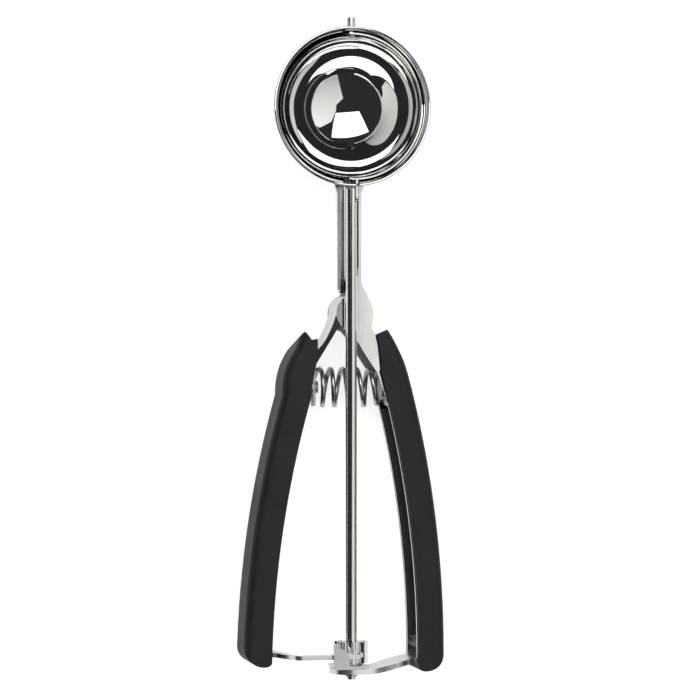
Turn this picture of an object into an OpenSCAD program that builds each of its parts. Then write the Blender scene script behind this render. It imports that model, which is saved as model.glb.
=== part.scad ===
// Lever ice cream scoop: a squeeze disher whose trigger lever drives a rack, a pinion and a
// shaft, so that a thin blade sweeps the inside of the bowl.
// The scoop lies on its back. The drive shaft runs along Y with the bowl at +Y, the bowl's mouth
// faces +Z, and the origin is where the shaft's axis crosses the centre of the bowl.

/* [Bowl] */
// Inside radius of the hemispherical bowl
bowl_r = 26.5; // [22:0.5:30]
// Thickness of the bowl's sheet
bowl_wall = 0.8; // [0.6:0.1:1.2]
// Radius of the rolled bead round the mouth
bead_r = 1.0; // [0.8:0.1:1.4]
// Height of the bead's centre above the shaft's axis
bead_lift = 2.6; // [2.4:0.1:4]

/* [Sweeper] */
// Width of the sweeper blade
blade_w = 6.4; // [5:0.2:8]
// Thickness of the sweeper blade
blade_t = 0.6; // [0.5:0.1:1]
// Gap between the blade and the bowl
blade_gap = 0.3; // [0.2:0.1:0.8]
// Angle of the resting blade below the mouth's plane
blade_rest = 7; // [7:0.5:9]
// Thickness of the tang that joins the blade to the shaft
tang_t = 0.8; // [0.6:0.1:1.1]
// Width of the tang
tang_w = 3.8; // [3:0.2:4.4]
// Length of the tang outside the bowl
tang_len = 6.4; // [5:0.2:9]
// Shank diameter of the rivet at the blade's tip
tip_shank_d = 2.0; // [1.6:0.1:2.2]
// Head diameter of the rivet at the blade's tip
tip_head_d = 3.1; // [2.8:0.1:3.2]
// Length of that head outside the bowl
tip_head_len = 4.2; // [2:0.1:6]

/* [Drive shaft] */
// Shaft diameter
shaft_d = 4.0; // [3.6:0.1:4.4]
// Diameter of the journal at the lower end
journal_d = 3.2; // [2.6:0.1:3.4]
// Distance from the bowl's centre down to the top face of the support arm
arm_y = 198.8; // [196:0.1:202]

/* [Rack and pinion] */
// Gear module
gear_m = 1.0; // [0.9:0.05:1.1]
// Number of pinion teeth
teeth = 10; // [10:1:10]
// Pressure angle of the teeth
pressure_angle = 25; // [25:0.5:27]
// Height of the pinion
pinion_h = 7.6; // [6.5:0.1:8]
// Thickness of the rack strip
rack_t = 1.6; // [1.2:0.1:2]
// Width of the rack strip behind its teeth
rack_back = 1.9; // [1.6:0.1:2.4]
// Height of the rack's centre line above the support arm, at the shaft's axis
rack_up = 4.3; // [3.9:0.1:4.8]
// Slope of the rack at rest, down towards the shaft
rack_slope = 0; // [-1:0.1:1.5]
// Length of the rack past the shaft's axis at rest
rack_tip = 1.8; // [1.6:0.1:2.4]
// Backlash of the teeth
backlash = 0.3; // [0.25:0.05:0.4]

/* [Frame and lever] */
// Thickness of the steel sheet
sheet_t = 1.0; // [0.8:0.1:1.2]
// Sideways place of the pivot
pivot_x = 2.0; // [1:0.25:3]
// Distance from the bowl's centre down to the pivot
pivot_y = 73.2; // [70:0.5:76]
// Radius of the ears round the pivot
ear_r = 6.8; // [6.4:0.1:7.4]
// Diameter of the pivot rivet
pivot_d = 5.0; // [4:0.25:6]
// Front-to-back depth of the fixed channel
channel_d = 16.2; // [15.8:0.1:17]
// Outside radius of the neck channel
neck_r = 4.3; // [4:0.1:4.8]
// Length of the flare with which the neck meets the bowl
flare_len = 3.6; // [2:0.2:6]
// Rise of the support arm from the shaft to the fixed handle
arm_rise = 3.6; // [2.4:0.2:5]
// Gap between the shaft and the sheet behind it
shaft_gap = 0.6; // [0.4:0.1:1]
// Gap between the faces of the fixed and the moving ears
ear_gap = 0.3; // [0.2:0.05:0.5]

/* [Handles] */
// Radius of each handle's outward bow
bow_r = 380; // [340:10:420]
// Sideways reach of the fixed handle's outer face
fixed_reach = 34.8; // [33:0.2:37]
// Lean of the fixed handle at its lower end
fixed_lean = 0.6; // [0:0.1:1.2]
// Distance from the bowl's centre down to the end of the fixed grip
fixed_end = 201.2; // [200:0.2:204]
// Sideways reach of the lever's outer face
lever_reach = 38.0; // [36:0.2:40]
// Lean of the lever at its lower end
lever_lean = 2.2; // [1.6:0.1:2.8]
// Distance from the bowl's centre down to the end of the lever's grip
lever_end = 198.5; // [197:0.2:201]
// Width of the grips from the inside edge to the outer face
grip_w = 9.9; // [9:0.1:11]
// Thickness of the rubber on the outside of the fixed handle
rubber_t = 1.8; // [1.4:0.1:2.2]
// Distance from the bowl's centre down to the peak of the fixed grip
fixed_peak = 78.8; // [77:0.1:81]
// Distance from the bowl's centre down to the peak of the lever's grip
lever_peak = 79.5; // [78:0.1:82]
// Radius of the bend of the fixed grip's upper end
fixed_bend_r = 46; // [38:1:60]
// Radius of the swelling near the upper end of the lever's grip
swell_r = 26; // [23:0.5:30]
// Rounding of the grips' lower ends on the outside
toe_r = 7; // [6.4:0.2:7.2]
// Rounding of the grips' lower ends on the inside
toe_in_r = 2.8; // [2:0.2:3]
// Rounding of the grips' long outer edges
grip_edge_r = 3.4; // [2:0.2:5]

/* [Return spring] */
// Distance from the pivot down to the spring's axis
spring_drop = 26.4; // [25:0.2:28]
// Outside diameter of the coil
spring_d = 14.7; // [14:0.1:15]
// Outside diameter of the end turn that sits between the fixed handle's plates
spring_end_d = 13.6; // [13:0.1:13.8]
// Wire diameter
wire_d = 1.7; // [1.4:0.1:1.8]
// Turns of the coil
spring_turns = 5.5; // [4.5:0.5:6.5]
// Fan of the end turns, which lean outwards with the handles
spring_fan = 0.12; // [0:0.02:0.16]
// Lean of every turn, its front towards the lever
spring_skew = 0.13; // [0:0.01:0.16]
// Share by which the end turns are closer than the mean
spring_close = 0.2; // [0:0.05:0.4]
// Depth of the coil's seat on the lever
lever_seat_d = 4.4; // [4:0.2:6]

/* [Hidden] */
$fn = 64;

steel = [0.78, 0.78, 0.79];
dark_steel = [0.42, 0.42, 0.43];
rubber = [0.10, 0.10, 0.10];

// Radial clearance of the running fits
run = 0.05;
// Gap between pieces that are pressed or moulded together
fit = 0.03;
// Extra length of a cutting shape
cut = 0.1;
// Overlap of two outlines that join
lap = 0.4;

// Frame levels, from the shaft backwards
front_z = -(shaft_d / 2 + shaft_gap);
back_z = front_z - channel_d;
mid_z = (front_z + back_z) / 2;
lever_front_z = front_z - sheet_t - ear_gap;
lever_back_z = back_z + sheet_t + ear_gap;
grip_front_z = front_z + rubber_t;
grip_back_z = back_z - rubber_t;

pivot = [pivot_x, -pivot_y];
bowl_out = bowl_r + bowl_wall;
bead_ring_r = bowl_out + bead_r / 10;
rim_r = bead_ring_r + bead_r;

// Lower end of the shaft: arm, guide foot, washer and pinion, from the bottom upwards
arm_t = 1.8;
guide_t = 0.9;
washer_t = 0.6;
arm_top = -arm_y;
arm_bottom = arm_top - arm_t;
washer_bottom = arm_top + guide_t + run;
pinion_bottom = washer_bottom + washer_t + run;
pinion_top = pinion_bottom + pinion_h;
shaft_top = -(rim_r + 0.6);
tang_end = -(bowl_out + tang_len);

// Gear sizes
pitch_r = gear_m * teeth / 2;
pinion_tip_r = pitch_r + 0.9 * gear_m;
pinion_root_r = pitch_r - 1.25 * gear_m;
base_r = pitch_r * cos(pressure_angle);
tooth_half = (PI * gear_m / 2 - backlash / 2) / 2;
rack_tip_z = pitch_r - 0.8 * gear_m;
rack_root_z = pitch_r + 1.15 * gear_m;
rack_front_z = rack_root_z + rack_back;
guide_z = rack_front_z + 0.3;

// Each handle: the centre of its bow in the plane of the sheet, measured towards its own side
toe_line = -190;
fixed_bow = [fixed_reach - bow_r * cos(fixed_lean), toe_line - bow_r * sin(fixed_lean)];
lever_bow = [lever_reach - bow_r * cos(lever_lean), toe_line - bow_r * sin(lever_lean)];
// Middle of the channel's outer wall, measured in from the grip's outer face
wall_mid = rubber_t + sheet_t / 2;
// Step by which the sheet lies below the channel's faces where it is pressed flat
coin = 0.05;
// Thickness of the sheet where it is pressed flat round the pivot
ear_t = sheet_t - 2 * coin;
// Thickness of the bent web between the two ears
web_t = sheet_t + 0.1;
// Sheet left over the pivot's front end
pivot_skin = 0.45;
// Depth of the rounded back of the neck, and the lower end of its channel
neck_z = front_z - 1.8;
neck_end = -pivot_y + ear_r + 0.4;
lever_pivot = [-pivot_x, -pivot_y];
spring_y = pivot_y + spring_drop;
// Heights at which the channels inside the grips start and the flat plates beside them end
channel_y = -pivot_y - 23.8;
plate_y = -pivot_y - 30.8;
// Angle above both handles
open_a = 24;

// Height at which the fixed grip starts to bend, and the lean of the lever grip's top
bend_y = -fixed_peak - 15.2;
fixed_top_lean = 5;
lever_top_lean = 12;

// Sweeper: the tang's side of the shaft and the blade's outside radius
tang_x = shaft_d / 2 - tang_t;
blade_out = bowl_r - blade_gap;

// Retainer under the support arm, and the end of the shaft
retainer_t = 1.5;
retainer_top = arm_bottom - run;
shaft_end = retainer_top - retainer_t - 1;

// Rack line: its foot under the pivot, in the rack's own direction
rack_drop = (arm_y - rack_up - pivot_y + pivot_x * tan(rack_slope)) * cos(rack_slope);
rack_foot = [pivot_x - rack_drop * sin(rack_slope), -pivot_y - rack_drop * cos(rack_slope)];
rack_gap = -rack_foot[0] / cos(rack_slope);
rack_teeth = 6;

// Rack guide: the edges of its flap, and its rivets
guide_left = -7.2;
guide_right = -2.4;
guide_rivet_x = [-3.4, 3.4];
guide_rivet_z = -3.4;
guide_rivet_r = 0.7;

// Spring: the ends of the coil, its seats' thickness and the top of the liners
spring_left = -11.05;
spring_right = 15;
seat_t = 0.9;
liner_top = -spring_y - 8;

// ---------- functions ----------

function arc(c, r, a0, a1, n) = [for (i = [0:n]) let (a = a0 + (a1 - a0) * i / n)
    [c[0] + r * cos(a), c[1] + r * sin(a)]];

// Smooth curve through a few points
function spline(p, n) = concat(
    [for (i = [0:len(p) - 2], j = [0:n - 1]) let (
        t = j / n,
        a = p[max(i - 1, 0)], b = p[i], c = p[i + 1], d = p[min(i + 2, len(p) - 1)])
        (2 * b + (c - a) * t + (2 * a - 5 * b + 4 * c - d) * t * t
            + (3 * b - a - 3 * c + d) * t * t * t) / 2],
    [p[len(p) - 1]]);

// The same curve moved sideways by d, to its left
function beside(p, d) = [for (i = [0:len(p) - 1]) let (
    v = p[min(i + 1, len(p) - 1)] - p[max(i - 1, 0)],
    u = v / norm(v)) p[i] + d * [-u[1], u[0]]];

function reversed(p) = [for (i = [len(p) - 1:-1:0]) p[i]];

// Sheet strip that follows a curve
function strip(p, d) = concat(p, reversed(beside(p, d)));

// Sideways place of a bow's face at a given height, inset from the grip's outer face
function bow_x(bow, inset, y) = bow[0] + sqrt(pow(bow_r - inset, 2) - pow(y - bow[1], 2));

// Point on a handle, inset from its outer face, at a given height
function on_bow(bow, inset, y) = [bow_x(bow, inset, y), y];

// Angle round the bow's centre at which a bow's face has a given height
function bow_a(bow, inset, y) = asin((y - bow[1]) / (bow_r - inset));

function inv(r) = let (a = acos(base_r / r)) tan(a) * 180 / PI - a;

// Half of the pinion tooth's angle at radius r
function tooth_angle(r) = tooth_half / pitch_r * 180 / PI + inv(pitch_r) - inv(r);

// ---------- shared shapes ----------

// Section carried round a centre between two angles
module bend(centre, r, a0, a1) {
    translate([centre[0], centre[1], 0]) rotate([0, 0, a0])
        rotate_extrude(angle = a1 - a0, $fn = 360) children();
}

// Solid length of a handle, from its toe up to an angle round its bow, between two depths.
// It is drawn towards +X from the bow's centre.
// A cavity is also open towards the inside, down to the toe.
module handle_block(bow, end_y, inset, edge, z0, z1, top_a, cavity = false) {
    toe_x = bow_x(bow, 0, -end_y + toe_r) - toe_r;
    intersection() {
        bend(bow, bow_r, -6, top_a)
            translate([bow_r - grip_w - edge, z1]) square([grip_w + edge - inset, z0 - z1]);
        translate([0, 0, z1 - cut]) linear_extrude(z0 - z1 + 2 * cut) {
            translate([0, -end_y + toe_r - lap]) square([80, end_y]);
            translate([toe_x, -end_y + toe_r]) rotate(45) circle(toe_r - inset);
            if (cavity) translate([0, -end_y + inset + coin]) square([toe_x, end_y]);
        }
    }
}

// Section of a grip before its channel is cut out: long outer edges rounded
module grip_section(r, w, step) {
    z0 = grip_front_z - step;
    z1 = grip_back_z + step;
    e = grip_edge_r;
    translate([r - w, z1 + e]) square([w, z0 - z1 - 2 * e]);
    translate([r - w, z1]) square([w - e, z0 - z1]);
    translate([r - e, z0 - e]) circle(e);
    translate([r - e, z1 + e]) circle(e);
}

// Outline of a grip's lower end, closed far away on the outside
module grip_toe(bow, end_y) {
    toe_x = bow_x(bow, 0, -end_y + toe_r) - toe_r;
    in_x = bow_x(bow, grip_w, -end_y + toe_in_r) - lap + toe_in_r;
    translate([0, 0, grip_back_z - cut]) linear_extrude(grip_front_z - grip_back_z + 2 * cut)
        polygon(concat([[2 * grip_w + lever_reach, -end_y + toe_r]],
            arc([toe_x, -end_y + toe_r], toe_r + lap / 100, 0, -90, 16),
            arc([in_x, -end_y + toe_in_r], toe_in_r, -90, -180, 12),
            [[0, -end_y + toe_in_r], [0, 0], [2 * grip_w + lever_reach, 0]]));
}

// Outline of a grip's upper end, whose peak drops towards the back by an angle
module grip_top(peak_y, lean, outline) {
    depth = 4 * channel_d;
    translate([0, -peak_y, grip_front_z]) rotate([-lean, 0, 0])
        translate([0, peak_y, -depth]) linear_extrude(2 * depth)
            polygon(concat([[2 * grip_w + lever_reach, -2 * arm_y],
                            [-grip_w, -2 * arm_y]], outline));
}

// ---------- bowl and sweeper ----------

module bowl() {
    color(steel) difference() {
        union() {
            difference() {
                union() {
                    sphere(bowl_out);
                    cylinder(h = bead_lift, r = bowl_out);
                }
                sphere(bowl_r);
                cylinder(h = bead_lift + cut, r = bowl_r);
                translate([0, 0, bead_lift]) cylinder(h = 2 * bowl_out, r = 2 * bowl_out);
            }
            translate([0, 0, bead_lift]) rotate_extrude() translate([bead_ring_r, 0])
                circle(bead_r);
        }
        // Hole for the tip rivet
        translate([0, rim_r + cut, 0]) rotate([90, 0, 0])
            cylinder(h = 2 * bead_r + bowl_wall + 1, r = tip_shank_d / 2 + run);
        // Opening in which the tang turns, and the slot through the bead in which it rests
        intersection() {
            translate([0, -bowl_r + 1, 0]) rotate([90, 0, 0])
                cylinder(h = rim_r - bowl_r + 2, r = norm([tang_x + tang_t, tang_w / 2]) + run * 5);
            translate([-bowl_r, -2 * bowl_r, -bowl_r])
                cube([2 * bowl_r, 2 * bowl_r, bowl_r + tang_w / 2 + run]);
        }
        translate([tang_x - run * 5, -rim_r - cut, 0])
            cube([tang_t + run * 12, rim_r - bowl_r + 1, bead_lift + bead_r + cut]);
    }
}

module sweeper_blade() {
    color(steel) rotate([0, blade_rest, 0]) difference() {
        union() {
            intersection() {
                difference() {
                    sphere(blade_out);
                    sphere(blade_out - blade_t);
                }
                union() {
                    translate([0, -bowl_r, -blade_w / 2]) cube([bowl_r, 2 * bowl_r, blade_w]);
                    rotate([90, 0, 0]) cylinder(h = 2 * bowl_r, r = blade_w / 2, center = true);
                }
            }
            translate([tang_x, tang_end + tang_w / 2, -tang_w / 2])
                cube([tang_t, -tang_end - tang_w / 2 - blade_out + blade_t / 2, tang_w]);
            translate([tang_x, tang_end + tang_w / 2, 0]) rotate([0, 90, 0])
                cylinder(h = tang_t, r = tang_w / 2);
        }
        // Hole for the tip rivet
        translate([0, blade_out + cut, 0]) rotate([90, 0, 0])
            cylinder(h = 2 * blade_t + cut, r = tip_shank_d / 2 + fit);
    }
}

module tip_rivet() {
    inner_head_t = 0.6;
    shank_end = blade_out - blade_t - 0.08;
    color(steel) {
        translate([0, bowl_out + 0.2 + tip_head_len, 0]) rotate([90, 0, 0])
            cylinder(h = tip_head_len, r = tip_head_d / 2);
        translate([0, bowl_out + 0.3, 0]) rotate([90, 0, 0])
            cylinder(h = bowl_out + 0.3 - shank_end, r = tip_shank_d / 2);
        translate([0, shank_end, 0]) rotate([90, 0, 0])
            cylinder(h = inner_head_t, r = tip_head_d / 2);
    }
}

// ---------- drive shaft and gearing ----------

module drive_shaft() {
    color(steel) difference() {
        union() {
            translate([0, shaft_top, 0]) rotate([90, 0, 0])
                cylinder(h = shaft_top - pinion_bottom, r = shaft_d / 2);
            translate([0, pinion_bottom + cut, 0]) rotate([90, 0, 0])
                cylinder(h = pinion_bottom + cut - shaft_end, r = journal_d / 2);
        }
        // Flat against which the tang lies
        rotate([0, blade_rest, 0]) translate([tang_x - fit, tang_end - fit, -shaft_d])
            cube([shaft_d, shaft_d + tang_len, 2 * shaft_d]);
    }
}

module shaft_retainer() {
    color(dark_steel) translate([0, retainer_top, 0]) rotate([90, 0, 0]) difference() {
        cylinder(h = retainer_t, r = shaft_d / 2 + 0.15);
        translate([0, 0, -cut]) cylinder(h = retainer_t + 2 * cut, r = journal_d / 2 + fit);
    }
}

module thrust_washer() {
    color(dark_steel) translate([0, washer_bottom + washer_t, 0]) rotate([90, 0, 0]) difference() {
        cylinder(h = washer_t, r = pinion_root_r);
        translate([0, 0, -cut]) cylinder(h = washer_t + 2 * cut, r = journal_d / 2 + fit);
    }
}

function flank(k, side) = [for (i = [0:5]) let (
    r = base_r + (pinion_tip_r - base_r) * i / 5,
    a = 90 + 360 / teeth * k + side * tooth_angle(r)) r * [cos(a), sin(a)]];

function tooth_foot(k, side) = let (a = 90 + 360 / teeth * k + side * tooth_angle(base_r))
    [pinion_root_r * [cos(a), sin(a)]];

module pinion() {
    color(steel) translate([0, pinion_top, 0]) rotate([90, 0, 0]) difference() {
        linear_extrude(pinion_h) polygon([for (k = [0:teeth - 1])
            each concat(tooth_foot(k, -1), flank(k, -1), reversed(flank(k, 1)), tooth_foot(k, 1))]);
        translate([0, 0, -cut]) cylinder(h = pinion_h + 2 * cut, r = shaft_d / 2 + fit);
    }
}

function rack_half(z) = tooth_half + (z - pitch_r) * tan(pressure_angle);

function rack_tooth(k) = let (c = rack_gap - (k - 0.5) * PI * gear_m, e = rack_gap + rack_tip)
    [[min(c + rack_half(rack_root_z), e), rack_root_z], [min(c + rack_half(rack_tip_z), e),
      rack_tip_z], [c - rack_half(rack_tip_z), rack_tip_z],
     [c - rack_half(rack_root_z), rack_root_z]];

module rack() {
    inner_x = rack_foot[0] + lever_reach - rubber_t - sheet_t - 3;
    z_front = lever_front_z - sheet_t - run;
    z_back = lever_back_z + sheet_t + run;
    teeth_end = rack_gap - (rack_teeth + 0.3) * PI * gear_m;
    rear = spline([[teeth_end, rack_root_z - 1], [teeth_end - 1.5, rack_root_z - 3.5],
        [teeth_end - 3.5, mid_z + 4], [teeth_end - 7, z_back + 1], [teeth_end - 9, z_back]], 4);
    front = spline([[teeth_end - 9, z_front], [teeth_end - 7, z_front + 1.5],
        [teeth_end - 4, rack_root_z - 3], [teeth_end - 1, rack_front_z - 0.4],
        [teeth_end + 2, rack_front_z]], 4);
    color(steel) translate([rack_foot[0], rack_foot[1], 0]) rotate([0, 0, -rack_slope])
        rotate([90, 0, 0]) translate([0, 0, -rack_t / 2]) linear_extrude(rack_t)
            polygon(concat([[rack_gap + rack_tip, rack_front_z]],
                [for (k = [0:rack_teeth]) each rack_tooth(k)],
                rear, [[-inner_x, z_back], [-inner_x, z_front]], front));
}

// ---------- fixed frame ----------

// Outline of the frame's right side: neck, flare, round ear, waist and slope into the grip
function fixed_web() = spline([[neck_r - 0.2, -pivot_y + 16], [neck_r - 0.2, -pivot_y + 12.4],
    pivot + [3.1, 9], pivot + [4.9, 5.9], pivot + [ear_r - 0.5, 2.8], pivot + [ear_r, -0.4],
    pivot + [ear_r - 0.4, -3.2], pivot + [ear_r - 0.6, -5.4],
    on_bow(fixed_bow, rubber_t, -pivot_y - 18.8) + [-9.2, 11],
    on_bow(fixed_bow, rubber_t, -pivot_y - 18.8) + [-5.6, 7.4],
    on_bow(fixed_bow, wall_mid + 0.1, -pivot_y - 18.8),
    on_bow(fixed_bow, wall_mid, channel_y + 1)], 4);

module fixed_plate() {
    linear_extrude(ear_t) {
        polygon(concat(fixed_web(), [
            on_bow(fixed_bow, wall_mid, plate_y), on_bow(fixed_bow, grip_w, plate_y),
            on_bow(fixed_bow, grip_w + 1.2, -pivot_y - 20.8), pivot + [4, -14.9],
            pivot + [1.1, -10.1],
            pivot - (ear_r - lap) * [sin(22), cos(22)],
            pivot, pivot + (ear_r - lap) * [-sin(25), cos(25)],
            [neck_r - sheet_t, -pivot_y + 14]]));
        // Round side of the ear
        intersection() {
            translate(pivot) circle(ear_r);
            translate(pivot - [2 * ear_r, ear_r + 1]) square([2 * ear_r + 3, 2 * ear_r + 2]);
        }
    }
}

module neck_section(r) {
    translate([0, neck_z]) circle(r);
    translate([-r, neck_z]) square([2 * r, front_z - neck_z]);
}

// Flare of the neck's walls where they are brazed to the bowl
module neck_flare() {
    flare = 1.2;
    linear_extrude(front_z - neck_z) polygon([
        [neck_r - sheet_t, -bowl_out - flare_len], [neck_r - 0.1, -bowl_out - flare_len],
        [neck_r + flare, -bowl_out + 0.4], [neck_r + flare, -bowl_r + 1.5],
        [neck_r - sheet_t, -bowl_r + 1.5]]);
}

module handle_frame() {
    color(steel) difference() {
        union() {
            // Neck channel
            difference() {
                translate([0, -bowl_r + 1, 0]) rotate([90, 0, 0]) linear_extrude(-neck_end - bowl_r + 1)
                    intersection() {
                        neck_section(neck_r);
                        translate([-2 * neck_r, neck_z - 2 * neck_r])
                            square([4 * neck_r, 2 * neck_r + front_z - neck_z]);
                    }
                translate([0, -bowl_r + 2, cut]) rotate([90, 0, 0])
                    linear_extrude(-neck_end - bowl_r + 3) neck_section(neck_r - sheet_t);
                translate([-neck_r, neck_end - 1, front_z]) cube([2 * neck_r, 60, neck_r]);
                // Cut corner at the free end of the left wall
                translate([0, 0, neck_z - neck_r]) linear_extrude(2 * neck_r) polygon([
                    [-neck_r - 1, neck_end - 1], [-neck_r - 1, neck_end + 2.4],
                    [-neck_r + 2.4, neck_end - 1]]);
            }
            translate([0, 0, neck_z]) {
                neck_flare();
                mirror([1, 0, 0]) neck_flare();
            }
            // Web round the ears, deepening from the neck to the handle
            intersection() {
                translate([0, 0, back_z + coin]) linear_extrude(channel_d - 2 * coin)
                    polygon(strip(fixed_web(), -web_t));
                rotate([90, 0, 90]) linear_extrude(60) polygon([
                    [-pivot_y + 16, front_z], [-pivot_y + 16, neck_z], [-pivot_y + 8, back_z],
                    [-120, back_z], [-120, front_z]]);
            }
            translate([0, 0, front_z - coin - ear_t]) fixed_plate();
            translate([0, 0, back_z + coin]) intersection() {
                fixed_plate();
                translate([-20, -120, -cut]) cube([60, 120 - pivot_y + 8, 2 * sheet_t]);
            }
            // Channel inside the grip
            difference() {
                handle_block(fixed_bow, fixed_end, rubber_t, 0.2, front_z, back_z,
                    bow_a(fixed_bow, grip_w, channel_y));
                handle_block(fixed_bow, fixed_end, rubber_t + sheet_t, 2,
                    front_z - sheet_t, back_z + sheet_t, open_a, true);
            }
        }
        sphere(bowl_out + fit);
        // Bore for the pivot, closed by the front ear's polished face
        translate([pivot_x, -pivot_y, back_z - cut])
            cylinder(h = channel_d + cut - pivot_skin, r = pivot_d / 2 + fit);
    }
}

module pivot_rivet() {
    head_t = 1.2;
    color(steel) {
        translate([pivot_x, -pivot_y, back_z])
            cylinder(h = channel_d - pivot_skin - fit, r = pivot_d / 2);
        translate([pivot_x, -pivot_y, back_z - head_t]) cylinder(h = head_t, r = pivot_d / 2 + 1.8);
    }
}

module right_grip() {
    bend_a = bow_a(fixed_bow, 0, bend_y);
    bend_centre = fixed_bow + (bow_r - fixed_bend_r) * [cos(bend_a), sin(bend_a)];
    color(rubber) difference() {
        intersection() {
            union() {
                bend(fixed_bow, bow_r, -6, bend_a) grip_section(bow_r, grip_w, 0);
                bend(bend_centre, fixed_bend_r, bend_a - 2, bend_a + 36)
                    grip_section(fixed_bend_r - coin, grip_w - 2 * coin, coin);
            }
            grip_toe(fixed_bow, fixed_end);
            grip_top(fixed_peak, fixed_top_lean, [
                on_bow(fixed_bow, grip_w + 2, -fixed_peak - 20),
                on_bow(fixed_bow, grip_w - 0.6, -fixed_peak - 14),
                on_bow(fixed_bow, grip_w - 1.5, -fixed_peak - 9),
                on_bow(fixed_bow, grip_w - 2.1, -fixed_peak - 5.6),
                on_bow(fixed_bow, grip_w - 2.4, -fixed_peak - 2.2),
                on_bow(fixed_bow, grip_w * 0.31, -fixed_peak),
                on_bow(fixed_bow, grip_w * 0.26, -fixed_peak - 0.2),
                on_bow(fixed_bow, grip_w * 0.15, -fixed_peak - 5.4),
                on_bow(fixed_bow, grip_w * 0.04, -fixed_peak - 11),
                on_bow(fixed_bow, -grip_w, -fixed_peak - 14)]);
        }
        handle_block(fixed_bow, fixed_end, rubber_t - fit, 1, front_z + fit, back_z - fit, bend_a);
        bend(bend_centre, fixed_bend_r, bend_a - 2, bend_a + 40)
            translate([fixed_bend_r - grip_w - 1, back_z + coin - fit])
                square([grip_w + 1 - rubber_t, channel_d - 2 * (coin - fit)]);
    }
}

module grip_liner(bow, end_y, channel_front, channel_back, low, high) {
    liner_t = 1.2;
    inset = rubber_t + sheet_t + fit;
    intersection() {
        difference() {
            handle_block(bow, end_y, inset, -0.4, channel_front - sheet_t - fit,
                channel_back + sheet_t + fit, open_a);
            handle_block(bow, end_y, inset + liner_t, 2, channel_front - sheet_t - fit - liner_t,
                channel_back + sheet_t + fit + liner_t, open_a);
        }
        translate([0, low, back_z]) cube([80, high - low, channel_d]);
    }
}

module right_grip_liner() {
    color(rubber) grip_liner(fixed_bow, fixed_end, front_z, back_z, arm_top + 9, liner_top);
}

module left_grip_liner() {
    color(rubber) mirror([1, 0, 0])
        grip_liner(lever_bow, lever_end, lever_front_z, lever_back_z, arm_top + 9, liner_top);
}

// Top of the arm's strip: flat under the shaft, then rising gently into the fixed handle
function arm_curve() = concat([[-2 * pinion_tip_r, arm_top]],
    spline([[pinion_tip_r, arm_top], [pinion_tip_r + 2.1, arm_top + arm_rise * 0.04],
        [fixed_reach * 0.37, arm_top + arm_rise * 0.19],
        [fixed_reach * 0.53, arm_top + arm_rise * 0.39],
        [fixed_reach * 0.7, arm_top + arm_rise * 0.64], [fixed_reach * 0.9, arm_top + arm_rise]], 6));

module support_arm() {
    z_front = front_z - sheet_t - run;
    z_back = back_z + sheet_t + run;
    end_r = 7.2;
    end_z = rack_front_z + 1.5 - end_r;
    arm_end = bow_x(fixed_bow, rubber_t + sheet_t, arm_top) - 1.6;
    color(steel) difference() {
        intersection() {
            translate([0, 0, back_z]) linear_extrude(channel_d + 3 * end_r)
                polygon(strip(arm_curve(), -arm_t));
            translate([0, arm_bottom - cut, 0]) rotate([-90, 0, 0]) mirror([0, 1, 0])
                linear_extrude(channel_d) polygon(concat(
                    arc([-1, end_z], end_r, 270, 90, 24),
                    spline([[0.6, end_z + end_r], [6, end_z + end_r - 1.1], [11, end_z + 3.3],
                        [16, end_z - 0.3], [20.4, z_front + 2], [24.2, z_front]], 6),
                    [[arm_end, z_front], [arm_end, z_back]],
                    spline([[24, z_back], [17, z_back + 2], [8, end_z - end_r - 2],
                        [0.6, end_z - end_r]], 6)));
        }
        translate([0, arm_top + cut, 0]) rotate([90, 0, 0])
            cylinder(h = arm_t + 2 * cut, r = journal_d / 2 + run);
        for (x = guide_rivet_x) translate([x, arm_top + cut, guide_rivet_z]) rotate([90, 0, 0])
            cylinder(h = arm_t + 2 * cut, r = guide_rivet_r + fit);
    }
}

// ---------- rack guide ----------

module rack_guide() {
    flap_h = 7.6;
    flap_r = 4.2;
    edge_h = 9.2;
    foot_y = arm_top;
    color(steel) {
        difference() {
            translate([guide_left, foot_y, -5.4])
                cube([5 - guide_left, guide_t, guide_z + guide_t + 5.4]);
            translate([guide_right, foot_y - cut, 6.4]) cube([20, 2, 10]);
            translate([0, foot_y + guide_t + cut, 0]) rotate([90, 0, 0])
                cylinder(h = guide_t + 2 * cut, r = journal_d / 2 + run);
            for (x = guide_rivet_x) translate([x, foot_y + guide_t + cut, guide_rivet_z])
                rotate([90, 0, 0]) cylinder(h = guide_t + 2 * cut, r = guide_rivet_r + fit);
        }
        // Flap in front of the rack, with a round upper corner
        translate([0, 0, guide_z]) linear_extrude(guide_t) {
            translate([guide_left, foot_y]) square([guide_right - guide_left, flap_h - flap_r]);
            intersection() {
                translate([guide_right - flap_r, foot_y + flap_h - flap_r]) circle(flap_r);
                translate([guide_left, foot_y]) square([20, 20]);
            }
        }
        // Folded outer edge
        translate([guide_left - guide_t, foot_y, guide_z]) cube([guide_t + cut, edge_h, guide_t + 0.4]);
    }
}

module guide_rivets() {
    color(dark_steel) for (x = guide_rivet_x)
        translate([x, arm_top + guide_t, guide_rivet_z]) rotate([90, 0, 0])
            cylinder(h = guide_t + arm_t, r = guide_rivet_r);
}

// ---------- lever ----------

function on_ear(a) = lever_pivot + ear_r * [cos(a), sin(a)];

// Outline of the lever's outer side: over the ear, down its slope and into the grip
function lever_web() = spline([on_ear(78), on_ear(50), on_ear(22), on_ear(-6), [6.3, -pivot_y - 5.2],
    [9.8, -pivot_y - 11.4], on_bow(lever_bow, rubber_t, -pivot_y - 19.8) + [-4.6, 4],
    on_bow(lever_bow, wall_mid - 0.1, -pivot_y - 19.8),
    on_bow(lever_bow, wall_mid, channel_y + 0.6)], 5);

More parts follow.
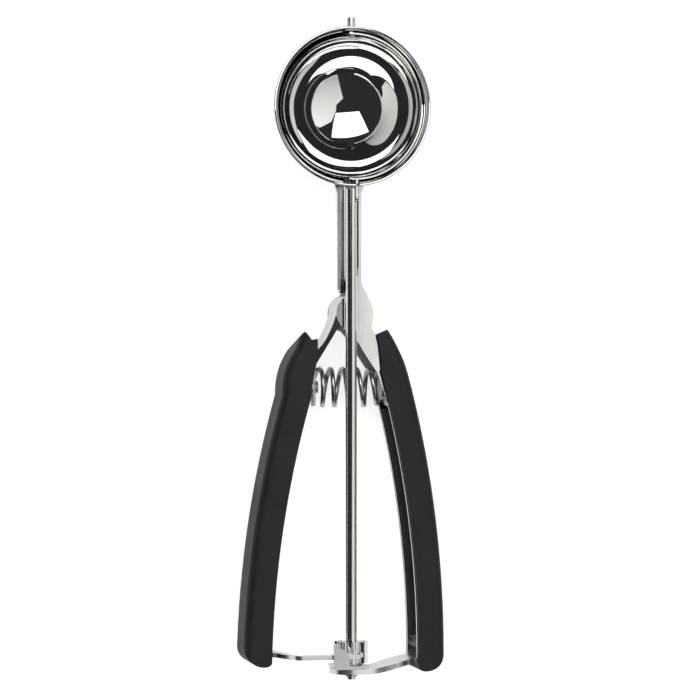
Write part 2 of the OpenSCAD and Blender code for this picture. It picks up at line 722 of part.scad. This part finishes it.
module lever_plate() {
    inner_r = ear_r - sheet_t - 0.4;
    linear_extrude(ear_t) {
        polygon(concat(lever_web(), [
            on_bow(lever_bow, wall_mid, plate_y), on_bow(lever_bow, grip_w - 1.3, plate_y),
            on_bow(lever_bow, grip_w - 1.3, -pivot_y - 18.8), [5.4, -pivot_y - 7.8],
            [4.0, -pivot_y - 5.4],
            lever_pivot + [0, -inner_r + 0.4], lever_pivot + [0, inner_r - 0.4]]));
        translate(lever_pivot) circle(inner_r);
    }
}

module lever_frame() {
    depth = lever_front_z - lever_back_z;
    color(steel) mirror([1, 0, 0]) difference() {
        union() {
            translate([0, 0, lever_back_z + coin]) linear_extrude(depth - 2 * coin)
                polygon(strip(lever_web(), -web_t));
            translate([0, 0, lever_front_z - coin - ear_t]) lever_plate();
            translate([0, 0, lever_back_z + coin]) lever_plate();
            difference() {
                handle_block(lever_bow, lever_end, rubber_t, -1, lever_front_z, lever_back_z,
                    bow_a(lever_bow, grip_w, channel_y));
                handle_block(lever_bow, lever_end, rubber_t + sheet_t, 2,
                    lever_front_z - sheet_t, lever_back_z + sheet_t, open_a, true);
            }
        }
        translate([-pivot_x, -pivot_y, lever_back_z - cut])
            cylinder(h = depth + 2 * cut, r = pivot_d / 2 + run);
    }
}

module left_grip() {
    swell_y = -lever_peak - 21.5;
    swell_centre = [bow_x(lever_bow, 0, swell_y) + 0.35 - swell_r, swell_y];
    color(rubber) mirror([1, 0, 0]) difference() {
        intersection() {
            union() {
                bend(lever_bow, bow_r, -6, open_a) grip_section(bow_r, grip_w, 0);
                bend(swell_centre, swell_r, -10, 62) grip_section(swell_r, grip_w * 0.7, coin);
            }
            grip_toe(lever_bow, lever_end);
            grip_top(lever_peak, lever_top_lean, [
                on_bow(lever_bow, grip_w + 1, -lever_peak - 30),
                on_bow(lever_bow, grip_w - 1.2, -lever_peak - 17.5),
                on_bow(lever_bow, grip_w - 1.8, -lever_peak - 10.7),
                on_bow(lever_bow, grip_w - 2.8, -lever_peak - 6.5),
                on_bow(lever_bow, grip_w - 4.1, -lever_peak - 2.7),
                on_bow(lever_bow, grip_w - 6, -lever_peak - 3.1),
                on_bow(lever_bow, 0.8, -lever_peak),
                on_bow(lever_bow, 0.3, -lever_peak - 0.3),
                on_bow(lever_bow, -grip_w, -lever_peak - 16)]);
        }
        handle_block(lever_bow, lever_end, rubber_t - fit, 1, lever_front_z + fit,
            lever_back_z - fit, open_a);
    }
}

// ---------- return spring ----------

// Radius of the coil's centre line, smaller where it sits between the fixed handle's plates
function coil_r(x) = let (t = min(max((x - 6) / 4, 0), 1), s = t * t * (3 - 2 * t))
    ((1 - s) * spring_d + s * spring_end_d - wire_d) / 2;

function coil(i, n) = let (
    t = i / n, a = 360 * spring_turns * t + 30,
    x0 = spring_left + wire_d / 2, x1 = spring_right - wire_d / 2,
    x = x0 + (x1 - x0) * (t - spring_close / (2 * PI) * sin(360 * t)),
    r = coil_r(x), middle = 1 - pow(2 * t - 1, 6))
    [x + (spring_skew * cos(a) - spring_fan * (2 * t - 1) * sin(a)) * r * middle,
     -spring_y + r * sin(a), mid_z - r * cos(a)];

module return_spring() {
    sides = 8;
    n = round(spring_turns * 20);
    path = [for (i = [0:n]) coil(i, n)];
    ring = [for (i = [0:n]) let (
        d = path[min(i + 1, n)] - path[max(i - 1, 0)], u = d / norm(d),
        v = cross([1, 0, 0], u), side = v / norm(v), up = cross(u, side))
        each [for (j = [0:sides - 1]) path[i]
            + wire_d / 2 * (cos(360 * j / sides) * side + sin(360 * j / sides) * up)]];
    color(dark_steel) polyhedron(ring, concat(
        [[for (j = [sides - 1:-1:0]) j], [for (j = [0:sides - 1]) n * sides + j]],
        [for (i = [0:n - 1], j = [0:sides - 1]) let (k = (j + 1) % sides)
            [i * sides + j, i * sides + k, (i + 1) * sides + k, (i + 1) * sides + j]]));
}

// Seat with a boss inside the coil and a stem in the channel; its plate is bar_d deep
module spring_seat(bow, end_y, face, bar_d, channel_front, channel_back) {
    boss_r = spring_end_d / 2 - wire_d - 0.4;
    boss_len = bar_d < spring_end_d ? 1 : 2.4;
    stem_r = 2.2;
    intersection() {
        translate([face, -spring_y, mid_z]) rotate([0, 90, 0])
            cylinder(h = seat_t, r = spring_end_d / 2);
        translate([face, -spring_y - spring_d, mid_z - bar_d / 2])
            cube([seat_t, 2 * spring_d, bar_d]);
    }
    translate([face - boss_len, -spring_y, mid_z]) rotate([0, 90, 0])
        cylinder(h = boss_len + cut, r = bar_d < spring_end_d ? stem_r : boss_r);
    intersection() {
        translate([face + seat_t - cut, -spring_y, mid_z]) rotate([0, 90, 0])
            cylinder(h = 12, r = stem_r);
        handle_block(bow, end_y, rubber_t + sheet_t + fit, 6, channel_front, channel_back,
            open_a);
    }
}

module spring_seat_right() {
    color(steel) spring_seat(fixed_bow, fixed_end, spring_right + 0.1, spring_end_d, front_z,
        back_z);
}

module spring_seat_left() {
    color(steel) mirror([1, 0, 0]) spring_seat(lever_bow, lever_end, -spring_left + 0.1, lever_seat_d,
        lever_front_z, lever_back_z);
}

bowl();
handle_frame();
right_grip();
right_grip_liner();
support_arm();
rack_guide();
guide_rivets();
pivot_rivet();
return_spring();
spring_seat_right();
lever_frame();
left_grip();
left_grip_liner();
rack();
spring_seat_left();
drive_shaft();
pinion();
thrust_washer();
shaft_retainer();
sweeper_blade();
tip_rivet();
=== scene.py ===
import math

import bmesh
import bpy
from mathutils import Matrix, Vector


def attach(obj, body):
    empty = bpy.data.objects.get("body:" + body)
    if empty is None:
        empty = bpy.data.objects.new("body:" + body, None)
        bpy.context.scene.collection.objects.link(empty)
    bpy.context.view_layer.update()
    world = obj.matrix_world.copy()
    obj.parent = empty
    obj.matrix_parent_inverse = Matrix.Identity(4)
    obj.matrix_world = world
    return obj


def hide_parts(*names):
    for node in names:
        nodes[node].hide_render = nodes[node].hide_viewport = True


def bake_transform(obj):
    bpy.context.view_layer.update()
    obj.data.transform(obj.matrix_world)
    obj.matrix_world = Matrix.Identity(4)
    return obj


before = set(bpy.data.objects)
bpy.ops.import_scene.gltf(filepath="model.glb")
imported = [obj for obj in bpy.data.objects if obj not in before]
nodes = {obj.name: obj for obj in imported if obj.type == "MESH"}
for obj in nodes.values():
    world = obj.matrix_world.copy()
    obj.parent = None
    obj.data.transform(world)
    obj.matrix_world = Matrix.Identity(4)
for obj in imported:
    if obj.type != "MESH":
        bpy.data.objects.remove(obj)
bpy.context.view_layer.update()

MM = 0.001
WHITE = (1, 1, 1)
scene = bpy.context.scene


# ---------- shader helpers ----------

def material(name):
    """A new material, with its node tree and its Principled shader."""
    mat = bpy.data.materials.new(name)
    mat.use_nodes = True
    tree = mat.node_tree
    return mat, tree, tree.nodes["Principled BSDF"]


def add(tree, kind, **settings):
    """A new node with the given settings."""
    node = tree.nodes.new(kind)
    for key, value in settings.items():
        setattr(node, key, value)
    return node


def place(tree, scale=(1, 1, 1)):
    """The object's own coordinates, times a factor along each axis."""
    coord = add(tree, "ShaderNodeTexCoord")
    mapping = add(tree, "ShaderNodeMapping")
    mapping.inputs["Scale"].default_value = scale
    tree.links.new(coord.outputs["Object"], mapping.inputs["Vector"])
    return mapping.outputs["Vector"]


def coordinate(tree, axis):
    """One of the object's own coordinates, in metres."""
    coord = add(tree, "ShaderNodeTexCoord")
    split = add(tree, "ShaderNodeSeparateXYZ")
    tree.links.new(coord.outputs["Object"], split.inputs["Vector"])
    return split.outputs[axis]


def noise(tree, vector, scale, detail, rough=0.55):
    """A cloudy pattern."""
    pattern = add(tree, "ShaderNodeTexNoise")
    pattern.inputs["Scale"].default_value = scale
    pattern.inputs["Detail"].default_value = detail
    pattern.inputs["Roughness"].default_value = rough
    tree.links.new(vector, pattern.inputs["Vector"])
    return pattern.outputs["Fac"]


def rings(tree, scale, detail):
    """A pattern of fine rings round the Z axis, as a lathe leaves them."""
    pattern = add(tree, "ShaderNodeTexNoise", noise_dimensions="1D")
    pattern.inputs["Scale"].default_value = scale
    pattern.inputs["Detail"].default_value = detail
    tree.links.new(coordinate(tree, "Z"), pattern.inputs["W"])
    return pattern.outputs["Fac"]


def spread(tree, value, low, high, from_low=0.3, from_high=0.7):
    """Maps a value to the range from low to high; the default input is a noise pattern's usual range."""
    ramp = add(tree, "ShaderNodeMapRange")
    ramp.inputs["From Min"].default_value = from_low
    ramp.inputs["From Max"].default_value = from_high
    ramp.inputs["To Min"].default_value = low
    ramp.inputs["To Max"].default_value = high
    tree.links.new(value, ramp.inputs["Value"])
    return ramp.outputs["Result"]


def calc(tree, operation, first, second):
    """One calculation with two numbers or node outputs, by its name in Blender."""
    node = add(tree, "ShaderNodeMath", operation=operation)
    for socket, value in zip(node.inputs, (first, second)):
        if isinstance(value, (int, float)):
            socket.default_value = value
        else:
            tree.links.new(value, socket)
    return node.outputs[0]


def tint(tree, value, dark, light):
    """A colour between dark and light."""
    mix = add(tree, "ShaderNodeMix", data_type="RGBA")
    mix.inputs["A"].default_value = (*dark, 1)
    mix.inputs["B"].default_value = (*light, 1)
    tree.links.new(value, mix.inputs["Factor"])
    return mix.outputs["Result"]


def emboss(tree, shader, pattern, strength, height):
    """Shades the surface as if a pattern raised it, by a height in metres."""
    bump = add(tree, "ShaderNodeBump")
    bump.inputs["Strength"].default_value = strength
    bump.inputs["Distance"].default_value = height
    tree.links.new(pattern, bump.inputs["Height"])
    tree.links.new(bump.outputs["Normal"], shader.inputs["Normal"])


# ---------- materials ----------

# Share of the smudges that the lines add, their height, and how dark the colour drifts
LINE_SMUDGE, LINE_HEIGHT, DRIFT_DARKEST = 0.7, 0.004 * MM, 0.93
# Metres. The dull finish is full behind the first Z and gone in front of the second.
DULL_Z = (-0.016, -0.010)
# It is gone below the first Y, in the handle's channel, and full above the second, on the ears.
DULL_Y = (-0.104, -0.098)


def steel(name, colour, rough, smudge, lines=None, line_strength=0.15, dull=0.0):
    """Polished or drawn steel: fine polishing lines, smudges in the gloss and a slight colour drift.

    lines says how fine the pattern is along each axis. Without it the lines are rings round the Z axis.
    With dull, the back of the pivot ears is rougher, as a buffing wheel doesn't reach in between them.
    """
    mat, tree, shader = material(name)
    shader.inputs["Metallic"].default_value = 1.0
    if lines:
        line = noise(tree, place(tree, lines), scale=1.0, detail=4, rough=0.6)
    else:
        line = rings(tree, scale=2600, detail=4)
    cloud = noise(tree, place(tree), scale=70, detail=4)
    drift = noise(tree, place(tree), scale=22, detail=2)
    gloss = calc(tree, "ADD", spread(tree, cloud, rough, rough + smudge),
                 spread(tree, line, 0.0, smudge * LINE_SMUDGE))
    if dull:
        deep = spread(tree, coordinate(tree, "Z"), dull, 0, *DULL_Z)
        at_ears = spread(tree, coordinate(tree, "Y"), 0, 1, *DULL_Y)
        gloss = calc(tree, "ADD", gloss, calc(tree, "MULTIPLY", deep, at_ears))
    tree.links.new(gloss, shader.inputs["Roughness"])
    darker = tuple(channel * DRIFT_DARKEST for channel in colour)
    tree.links.new(tint(tree, spread(tree, drift, 0, 1), darker, colour), shader.inputs["Base Color"])
    emboss(tree, shader, line, strength=line_strength, height=LINE_HEIGHT)
    return mat


def rubber(name):
    """Soft moulded rubber: near black, with a fine matte grain and worn, slightly greyer patches."""
    mat, tree, shader = material(name)
    at = place(tree)
    patches = noise(tree, at, scale=55, detail=4)
    grain = noise(tree, at, scale=5200, detail=3, rough=0.7)
    colour = tint(tree, spread(tree, patches, 0, 1), (0.006, 0.006, 0.006), (0.010, 0.0097, 0.0095))
    tree.links.new(colour, shader.inputs["Base Color"])
    gloss = calc(tree, "ADD", spread(tree, patches, 0.42, 0.52), spread(tree, grain, 0, 0.1))
    tree.links.new(gloss, shader.inputs["Roughness"])
    shader.inputs["Specular IOR Level"].default_value = 0.26
    emboss(tree, shader, grain, strength=0.35, height=0.03 * MM)
    return mat


def moulded(name):
    """Matte moulded plastic with a fine spark-eroded grain."""
    mat, tree, shader = material(name)
    at = place(tree)
    grain = noise(tree, at, scale=3500, detail=4, rough=0.65)
    cloud = noise(tree, at, scale=90, detail=3)
    colour = tint(tree, spread(tree, cloud, 0, 1), (0.012, 0.012, 0.012), (0.02, 0.02, 0.02))
    tree.links.new(colour, shader.inputs["Base Color"])
    tree.links.new(spread(tree, grain, 0.45, 0.7), shader.inputs["Roughness"])
    emboss(tree, shader, grain, strength=0.3, height=0.02 * MM)
    return mat


POLISHED = (0.80, 0.79, 0.78)
# Painted light: a lighter tone of the steel, for the fixed frame, its pivot rivet and pinion, the arm and
# the rack.
BRIGHT_PAINTED_LIGHT = (0.88, 0.87, 0.86)
SATIN = (0.66, 0.65, 0.64)
# Painted shade: a darker tone of the steel, for the rack guide's bent flap.
FOLDED_PAINTED_SHADE = (0.70, 0.69, 0.68)
WIRE = (0.52, 0.51, 0.50)
MATERIALS = {
    "bowl": steel("spun_steel", POLISHED, rough=0.015, smudge=0.02, line_strength=0.1),
    # The sheet and stamped steels carry that lighter tone as painted light.
    "sheet": steel("polished_sheet_painted_light", BRIGHT_PAINTED_LIGHT, rough=0.05, smudge=0.04, lines=(700, 60, 700), dull=0.4),
    "lever": steel("buffed_sheet", POLISHED, rough=0.02, smudge=0.01, lines=(700, 60, 700),
                   line_strength=0.04),
    "shaft": steel("drawn_rod", POLISHED, rough=0.07, smudge=0.05, lines=(500, 30, 500)),
    "stamped": steel("stamped_steel_painted_light", BRIGHT_PAINTED_LIGHT, rough=0.22, smudge=0.08, lines=(300, 300, 900)),
    "satin": steel("satin_steel", SATIN, rough=0.20, smudge=0.10, lines=(300, 300, 900)),
    # The rack guide's steel carries that darker tone as painted shade.
    "folded": steel("folded_steel_painted_shade", FOLDED_PAINTED_SHADE, rough=0.24, smudge=0.05, lines=(120, 500, 120),
                    line_strength=0.05),
    "spring": steel("spring_wire", WIRE, rough=0.16, smudge=0.10, lines=(900, 900, 900)),
    "rubber": rubber("grip_rubber"),
    "plastic": moulded("liner_plastic"),
}


# ---------- finish of the CAD nodes ----------

# Material and edge rounding in mm of each node. The two without rounding are replaced further down.
FINISH = {
    "bowl": ("bowl", 0.0),
    "handle_frame": ("sheet", 0.18),
    "right_grip": ("rubber", 0.55),
    "right_grip_liner": ("plastic", 0.2),
    "support_arm": ("stamped", 0.25),
    "rack_guide": ("folded", 0.15),
    "guide_rivets": ("satin", 0.1),
    "pivot_rivet": ("sheet", 0.25),
    "return_spring": ("spring", 0.0),
    "spring_seat_right": ("satin", 0.15),
    "lever_frame": ("lever", 0.18),
    "left_grip": ("rubber", 0.55),
    "left_grip_liner": ("plastic", 0.2),
    "rack": ("stamped", 0.12),
    "spring_seat_left": ("satin", 0.15),
    "drive_shaft": ("shaft", 0.15),
    "pinion": ("sheet", 0.10),
    "thrust_washer": ("satin", 0.08),
    "shaft_retainer": ("spring", 0.1),
    "sweeper_blade": ("bowl", 0.08),
    "tip_rivet": ("satin", 0.18),
}
WELD_GAP = 1e-6
FLAT_ANGLE, EDGE_ANGLE = math.radians(0.5), math.radians(38)


def round_edges(node, width):
    """Rounds a node's edges with modifiers only, and keeps its flat faces shading flat."""
    weld = node.modifiers.new("weld", "WELD")
    weld.merge_threshold = WELD_GAP
    flat = node.modifiers.new("flat", "DECIMATE")
    flat.decimate_type = "DISSOLVE"
    flat.angle_limit = FLAT_ANGLE
    edge = node.modifiers.new("edge", "BEVEL")
    edge.width = width
    edge.segments = 3
    edge.limit_method = "ANGLE"
    edge.angle_limit = EDGE_ANGLE
    shade = node.modifiers.new("shade", "WEIGHTED_NORMAL")
    shade.mode = "FACE_AREA"
    shade.weight = 100


def dress(node, look, width):
    """Gives a CAD node its material and rounds its edges."""
    node.data.materials.clear()
    node.data.materials.append(MATERIALS[look])
    node.data.polygons.foreach_set("use_smooth", [True] * len(node.data.polygons))
    if width:
        round_edges(node, width * MM)


for name, (look, width) in FINISH.items():
    dress(nodes[name], look, width)


# ---------- mesh helpers ----------

def build(name, points, faces):
    """A new mesh object in the scene."""
    mesh = bpy.data.meshes.new(name)
    mesh.from_pydata(points, [], faces)
    obj = bpy.data.objects.new(name, mesh)
    scene.collection.objects.link(obj)
    return obj


def tube(name, line, radius, sides=20):
    """A smooth tube along a line of points, with flat ends."""
    points, faces = [], []
    last = len(line) - 1
    side = Vector((1, 0, 0))
    for i, point in enumerate(line):
        ahead = (line[min(i + 1, last)] - line[max(i - 1, 0)]).normalized()
        side = (side - ahead * side.dot(ahead)).normalized()
        up = ahead.cross(side)
        for j in range(sides):
            angle = 2 * math.pi * j / sides
            points.append(point + radius * (math.cos(angle) * side + math.sin(angle) * up))
    for i in range(last):
        here, there = i * sides, (i + 1) * sides
        for j in range(sides):
            k = (j + 1) % sides
            faces.append((here + j, here + k, there + k, there + j))
    faces.append(tuple(range(sides - 1, -1, -1)))
    faces.append(tuple(last * sides + j for j in range(sides)))
    made = build(name, points, faces)
    made.data.polygons.foreach_set("use_smooth", [True] * (len(faces) - 2) + [False] * 2)
    return made


def lathe(name, profile, around):
    """A surface of revolution about Z; the profile starts and ends on the axis."""
    ring = profile[1:-1]
    points = [Vector((0, 0, profile[0][1])) * MM, Vector((0, 0, profile[-1][1])) * MM]
    for j in range(around):
        angle = 2 * math.pi * j / around
        points += [Vector((r * math.cos(angle), r * math.sin(angle), z)) * MM for r, z in ring]
    count = len(ring)
    faces = []
    for j in range(around):
        here, there = 2 + j * count, 2 + (j + 1) % around * count
        faces.append((0, here, there))
        faces += [(here + i, here + i + 1, there + i + 1, there + i) for i in range(count - 1)]
        faces.append((here + count - 1, 1, there + count - 1))
    return build(name, points, faces)


def arc(centre, radius, start, end, steps):
    """Points of an arc in the profile plane, with angles in degrees."""
    angles = [math.radians(start + (end - start) * i / steps) for i in range(steps + 1)]
    return [(centre[0] + radius * math.cos(angle), centre[1] + radius * math.sin(angle))
            for angle in angles]


def bar(radius, start, end):
    """A round cutter along Y."""
    made = bmesh.new()
    middle = Matrix.Translation((0, (start + end) / 2 * MM, 0))
    bmesh.ops.create_cone(made, cap_ends=True, segments=48, radius1=radius * MM, radius2=radius * MM,
                          depth=abs(end - start) * MM, matrix=middle @ Matrix.Rotation(math.pi / 2, 4, "X"))
    return made


def brick(low, high):
    """A square cutter between two corners."""
    made = bmesh.new()
    size = [(b - a) * MM for a, b in zip(low, high)]
    middle = [(a + b) / 2 * MM for a, b in zip(low, high)]
    bmesh.ops.create_cube(made, size=1, matrix=Matrix.Translation(middle) @ Matrix.Diagonal((*size, 1)))
    return made


def cut_out(obj, made):
    """Cuts a shape out of a piece and keeps only the result."""
    mesh = bpy.data.meshes.new("cutter")
    made.to_mesh(mesh)
    made.free()
    cutter = bpy.data.objects.new("cutter", mesh)
    scene.collection.objects.link(cutter)
    cut = obj.modifiers.new("cut", "BOOLEAN")
    cut.operation = "DIFFERENCE"
    cut.solver = "EXACT"
    cut.object = cutter
    result = bpy.data.meshes.new_from_object(obj.evaluated_get(bpy.context.evaluated_depsgraph_get()))
    obj.modifiers.clear()
    obj.data = result
    bpy.data.objects.remove(cutter)


# ---------- return spring ----------

# Sizes in mm and degrees, as in the CAD coil
SPRING_LEFT, SPRING_RIGHT, SPRING_Y, SPRING_Z = -11.05, 15.0, -99.6, -10.7
SPRING_D, SPRING_END_D, WIRE_D = 14.7, 13.6, 1.7
SPRING_TURNS, SPRING_START = 5.5, 30
SPRING_FAN, SPRING_SKEW, SPRING_CLOSE = 0.12, 0.13, 0.2
NARROW_X, NARROW_LENGTH, LEAN_FADE = 6, 4, 6


def spring_radius(x):
    """Radius of the coil's centre line, smaller towards its seat on the fixed handle."""
    share = min(max((x - NARROW_X) / NARROW_LENGTH, 0), 1)
    share = share * share * (3 - 2 * share)
    return ((1 - share) * SPRING_D + share * SPRING_END_D - WIRE_D) / 2


def spring_line(steps=48):
    """The coil's centre line, from the same numbers as the CAD coil, in finer steps."""
    left, right = SPRING_LEFT + WIRE_D / 2, SPRING_RIGHT - WIRE_D / 2
    count = int(SPRING_TURNS * steps)
    line = []
    for i in range(count + 1):
        t = i / count
        off_middle = 2 * t - 1
        angle = math.radians(360 * SPRING_TURNS * t + SPRING_START)
        x = left + (right - left) * (t - SPRING_CLOSE / (2 * math.pi) * math.sin(2 * math.pi * t))
        r = spring_radius(x)
        lean = (SPRING_SKEW * math.cos(angle) - SPRING_FAN * off_middle * math.sin(angle)) * r
        x += lean * (1 - off_middle ** LEAN_FADE)
        line.append(Vector((x, SPRING_Y + r * math.sin(angle), SPRING_Z - r * math.cos(angle))) * MM)
    return line


coil = tube("spring_coil", spring_line(), WIRE_D / 2 * MM)
coil.data.materials.append(MATERIALS["spring"])
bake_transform(coil)
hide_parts("return_spring")


# ---------- spun bowl ----------

# Sizes in mm, as in the CAD bowl, but with a thinner curled edge. PLAY is the holes' clearance, and
# PAST is how far a cutter reaches past the wall.
BOWL_R, BOWL_WALL = 26.5, 0.8
BOWL_OUT = BOWL_R + BOWL_WALL
RIM_R, RIM_Z, CURL_R, CURL_GAP = 28.4, 3.0, 0.5, 0.1
SHAFT_R, TANG_T, TANG_W, TIP_R = 2.0, 0.8, 3.8, 1.0
PLAY, PAST = 0.25, 1
SHARP_ANGLE = math.radians(35)


def mouth(radius, start, end, steps):
    """Profile of the mouth, which opens gently towards the curled edge."""
    opening = RIM_R - 2 * CURL_R - BOWL_R
    heights = [start + (end - start) * i / steps for i in range(1, steps)]
    return [(radius + opening * (z / RIM_Z) ** 3, z) for z in heights]


def bowl_profile():
    """Radius and height from the inner pole up to the curled edge, and outside back to the outer pole."""
    return (arc((0, 0), BOWL_R, -90, 0, steps=56)
            + mouth(BOWL_R, 0, RIM_Z, steps=14)
            + arc((RIM_R - CURL_R, RIM_Z), CURL_R, 180, -90, steps=24)
            + mouth(BOWL_OUT, RIM_Z - CURL_R - CURL_GAP, 0, steps=8)
            + arc((0, 0), BOWL_OUT, 0, -90, steps=48))


bowl = lathe("spun_bowl", bowl_profile(), around=240)
tip_hole = bar(TIP_R + PLAY / 5, BOWL_R - PAST, RIM_R + PAST)
cut_out(bowl, tip_hole)
tang_hole = bar(math.hypot(SHAFT_R, TANG_W / 2) + PLAY, -BOWL_R + PAST, -RIM_R - PAST)
cut_out(bowl, tang_hole)
tang_slot = brick((SHAFT_R - TANG_T - PLAY, -RIM_R - PAST, 0),
                  (SHAFT_R + 2 * PLAY, PAST - BOWL_R, RIM_Z + PAST))
cut_out(bowl, tang_slot)
bowl.data.set_sharp_from_angle(angle=SHARP_ANGLE)
bowl.data.polygons.foreach_set("use_smooth", [True] * len(bowl.data.polygons))
bowl.data.materials.append(MATERIALS["bowl"])
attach(bowl, "frame")
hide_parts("bowl")


# ---------- floor, softboxes, ceiling and world ----------

# Metres. The floor is tilted so that the bowl and the handles' ends both rest on it.
FLOOR_Z, FLOOR_SLOPE, FLOOR_HALF = -0.02765, -0.0341, 3
SOFTBOX_Z, CEILING_Z, CEILING_HALF = 1.0, 1.35, 40
TOP_OUTLINE = [(-0.456, 0.04), (0.213, 0.089), (0.497, 1.019), (-0.955, 0.922)]
SIDE_OUTLINE = [(0.211, 0.03), (0.211, -0.13), (0.02, -0.33), (0.40, -1.5), (2.2, -1.5), (2.2, 0.5),
                (0.93, 0.67), (0.37, 0.35)]
LAMP_SIZE, LAMP_POWER, LAMP_AT = 1.6, 26, (-0.2, 0.0, 1.3)
# Strengths of light. The side softbox has one at each of two Ys, and fades between them.
AMBIENT, TOP_GLOW = 0.03, 2.6
SIDE_FOOT, SIDE_HEAD = (-1.2, 0.55), (0.5, 1.15)
FLOOR_GREY, FLOOR_GLOW, FLOOR_IN_METAL = 0.42, 0.70, 0.5
WARM_WHITE = (1.0, 0.985, 0.97)


def square(half):
    """Outline of a square about the origin."""
    return [(-half, -half), (half, -half), (half, half), (-half, half)]


def panel(name, corners, mat):
    """A flat piece of the stage."""
    obj = build(name, [Vector(corner) for corner in corners], [tuple(range(len(corners)))])
    obj.data.materials.append(mat)
    return obj


def overhead(name, outline, height, mat):
    """A panel over the stage, which the camera doesn't see and which casts no shadow."""
    obj = panel(name, [(x, y, height) for x, y in outline], mat)
    obj.visible_camera = False
    obj.visible_shadow = False


def background_rays(tree, in_metal):
    """1 for what the camera or glass sees, and a share of it for what metal shows."""
    path = add(tree, "ShaderNodeLightPath")
    seen = calc(tree, "MAXIMUM", path.outputs["Is Camera Ray"], path.outputs["Is Transmission Ray"])
    mirrored = calc(tree, "MULTIPLY", path.outputs["Is Glossy Ray"], in_metal)
    return calc(tree, "MAXIMUM", seen, mirrored)


def floor_material():
    """A matte grey floor that takes shadows, and whose own glow turns it white to the camera."""
    mat, tree, shader = material("pale_floor")
    shader.inputs["Base Color"].default_value = (FLOOR_GREY, FLOOR_GREY, FLOOR_GREY, 1)
    shader.inputs["Roughness"].default_value = 0.9
    shader.inputs["Emission Color"].default_value = (*WHITE, 1)
    level = calc(tree, "MULTIPLY", background_rays(tree, FLOOR_IN_METAL), FLOOR_GLOW)
    tree.links.new(level, shader.inputs["Emission Strength"])
    return mat


def glow(name, colour, strength):
    """A light-giving material; strength is a number, or two pairs of Y and strength for a ramp."""
    mat = bpy.data.materials.new(name)
    mat.use_nodes = True
    tree = mat.node_tree
    tree.nodes.clear()
    out = add(tree, "ShaderNodeOutputMaterial")
    emit = add(tree, "ShaderNodeEmission")
    emit.inputs["Color"].default_value = (*colour, 1)
    if isinstance(strength, tuple):
        (foot_y, foot), (head_y, head) = strength
        ramp = spread(tree, coordinate(tree, "Y"), foot, head, foot_y, head_y)
        tree.links.new(ramp, emit.inputs["Strength"])
    else:
        emit.inputs["Strength"].default_value = strength
    tree.links.new(emit.outputs["Emission"], out.inputs["Surface"])
    return mat


def world_light():
    """A dim room that still shows white to the camera, glass and metal past the stage's edge."""
    world = bpy.data.worlds.new("studio")
    world.use_nodes = True
    tree = world.node_tree
    background = tree.nodes["Background"]
    background.inputs["Color"].default_value = (*WHITE, 1)
    extra = calc(tree, "MULTIPLY", background_rays(tree, 1.0), 1 - AMBIENT)
    tree.links.new(calc(tree, "ADD", extra, AMBIENT), background.inputs["Strength"])
    return world


def fill_lamp():
    """A broad soft lamp from above, which metal doesn't mirror."""
    light = bpy.data.lights.new("fill", "AREA")
    light.shape = "DISK"
    light.size = LAMP_SIZE
    light.energy = LAMP_POWER
    lamp = bpy.data.objects.new("fill", light)
    lamp.location = LAMP_AT
    lamp.visible_glossy = False
    lamp.visible_camera = False
    scene.collection.objects.link(lamp)


panel("floor", [(x, y, FLOOR_Z + FLOOR_SLOPE * y) for x, y in square(FLOOR_HALF)], floor_material())
overhead("top_softbox", TOP_OUTLINE, SOFTBOX_Z, glow("top_glow", WHITE, TOP_GLOW))
overhead("side_softbox", SIDE_OUTLINE, SOFTBOX_Z, glow("side_glow", WARM_WHITE, (SIDE_FOOT, SIDE_HEAD)))
overhead("dark_ceiling", square(CEILING_HALF), CEILING_Z, glow("ceiling_shade", WHITE, AMBIENT))
scene.world = world_light()
fill_lamp()


# ---------- camera ----------

# The photograph looks at the scoop from 12 degrees to the left of straight above.
CAMERA_TURN = math.radians(12)
CAMERA_TARGET = Vector((-0.4, -86.3, 0)) * MM
# Metres; the sensor's width is in mm, as Blender takes it
CAMERA_DISTANCE, CAMERA_REACH, VIEW_WIDTH = 1.0, 20, 0.2485
SENSOR_WIDTH = 36

camera_data = bpy.data.cameras.new("camera")
camera_data.sensor_width = SENSOR_WIDTH
camera_data.lens = SENSOR_WIDTH * CAMERA_DISTANCE / VIEW_WIDTH
camera_data.clip_end = CAMERA_REACH
camera = bpy.data.objects.new("camera", camera_data)
camera.matrix_world = (Matrix.Translation(CAMERA_TARGET) @ Matrix.Rotation(-CAMERA_TURN, 4, "Y")
                       @ Matrix.Translation((0, 0, CAMERA_DISTANCE)))
scene.collection.objects.link(camera)
scene.camera = camera
scene.view_settings.view_transform = "Standard"
